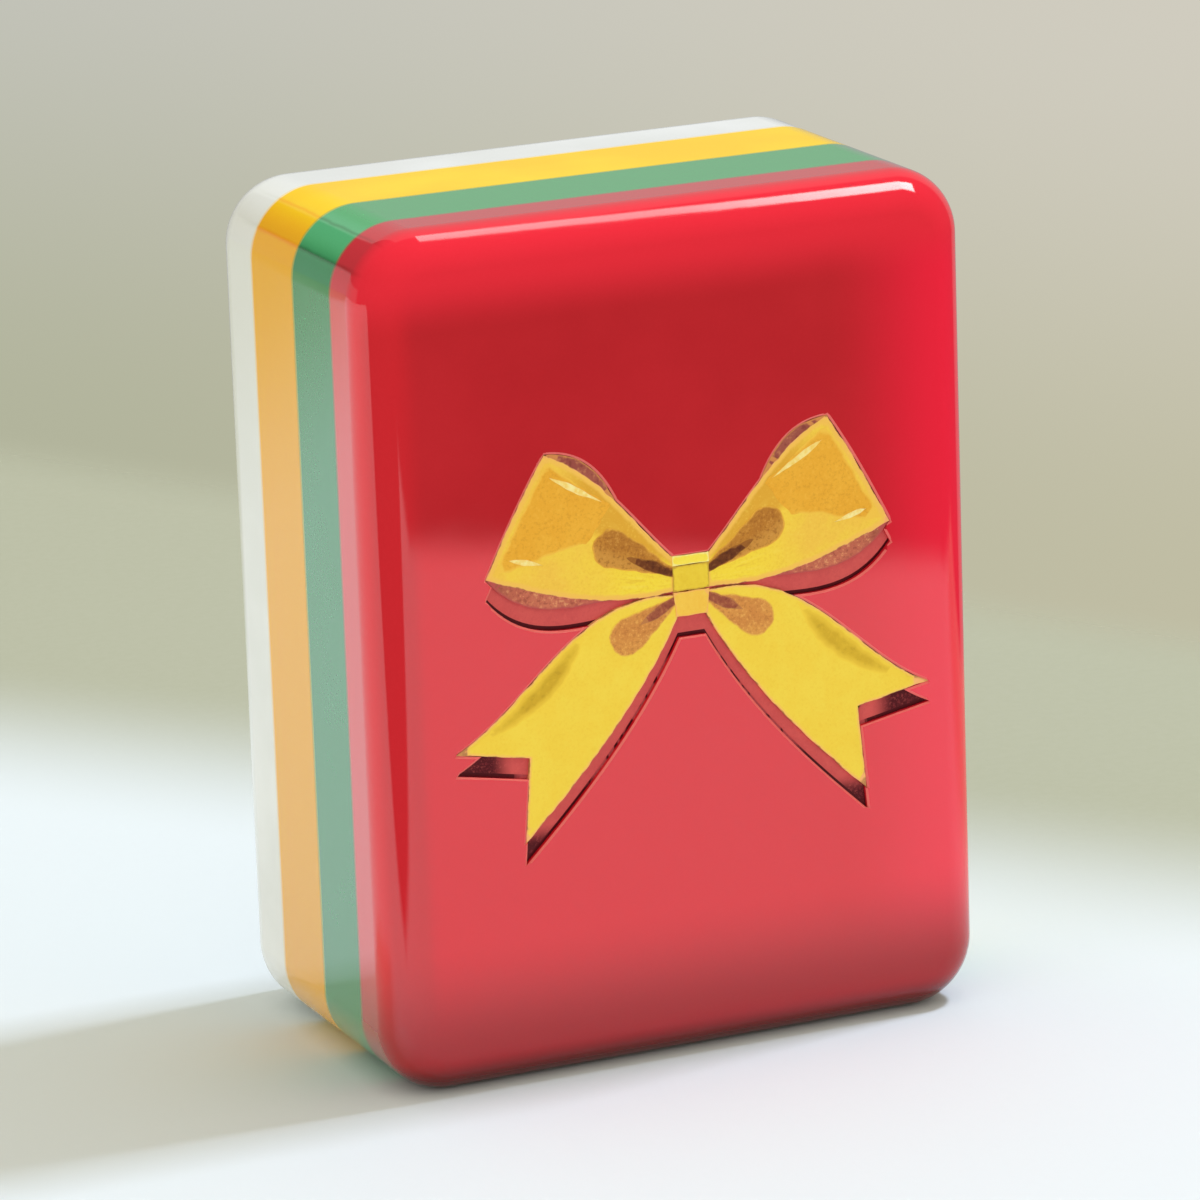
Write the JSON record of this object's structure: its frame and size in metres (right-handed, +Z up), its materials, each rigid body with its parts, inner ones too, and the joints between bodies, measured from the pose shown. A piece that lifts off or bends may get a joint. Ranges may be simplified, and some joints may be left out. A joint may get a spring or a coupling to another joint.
{
  "type": "mahjong tile",
  "caption": "Upright mahjong tile of bonded coloured acrylic sheets with polished round edges, its red face engraved with a paint-filled ribbon bow.",
  "frame": {"origin": "centre of the foot, on the surface that the tile stands on", "axes": "+Z up along the tile's height, +X along its width to the viewer's right, +Y from the engraved face to the white back"},
  "size_m": [0.0226, 0.014, 0.03],
  "materials": {
    "white_acrylic": "polished acrylic",
    "yellow_acrylic": "polished acrylic",
    "green_acrylic": "polished acrylic",
    "red_acrylic": "polished acrylic",
    "mauve_paint": "smooth paint fill",
    "maroon_paint": "smooth paint fill",
    "ribbon_paint": "smooth paint fill",
    "amber_paint": "smooth paint fill",
    "brown_paint": "smooth paint fill",
    "umber_paint": "smooth paint fill",
    "cream_paint": "smooth paint fill",
    "sienna_paint": "smooth paint fill",
    "russet_paint": "smooth paint fill",
    "olive_paint": "smooth paint fill",
    "tan_paint": "smooth paint fill",
    "lemon_paint": "smooth paint fill"
  },
  "bodies": {
    "root": {"back_layer": "white_acrylic", "yellow_layer": "yellow_acrylic", "green_layer": "green_acrylic", "face_layer": "red_acrylic", "shadow_bed": "mauve_paint", "shadow_line": "maroon_paint", "left_loop": "ribbon_paint", "right_loop": "ribbon_paint", "left_loop_panel": "amber_paint", "right_loop_panel": "amber_paint", "left_loop_hollow": "brown_paint", "right_loop_hollow": "brown_paint", "left_loop_crease": "umber_paint", "right_loop_crease": "umber_paint", "left_loop_glints": "cream_paint", "right_loop_glints": "cream_paint", "left_loop_underside": "sienna_paint", "right_loop_underside": "sienna_paint", "left_loop_back_fold": "russet_paint", "right_loop_back_fold": "russet_paint", "left_tail": "ribbon_paint", "right_tail": "ribbon_paint", "left_tail_shade": "olive_paint", "right_tail_shade": "olive_paint", "left_tail_hollow": "tan_paint", "right_tail_hollow": "tan_paint", "left_tail_crease": "umber_paint", "right_tail_crease": "umber_paint", "knot_upper_fold": "lemon_paint", "knot_band": "ribbon_paint", "knot_lower_fold": "amber_paint"}
  },
  "joints": []
}
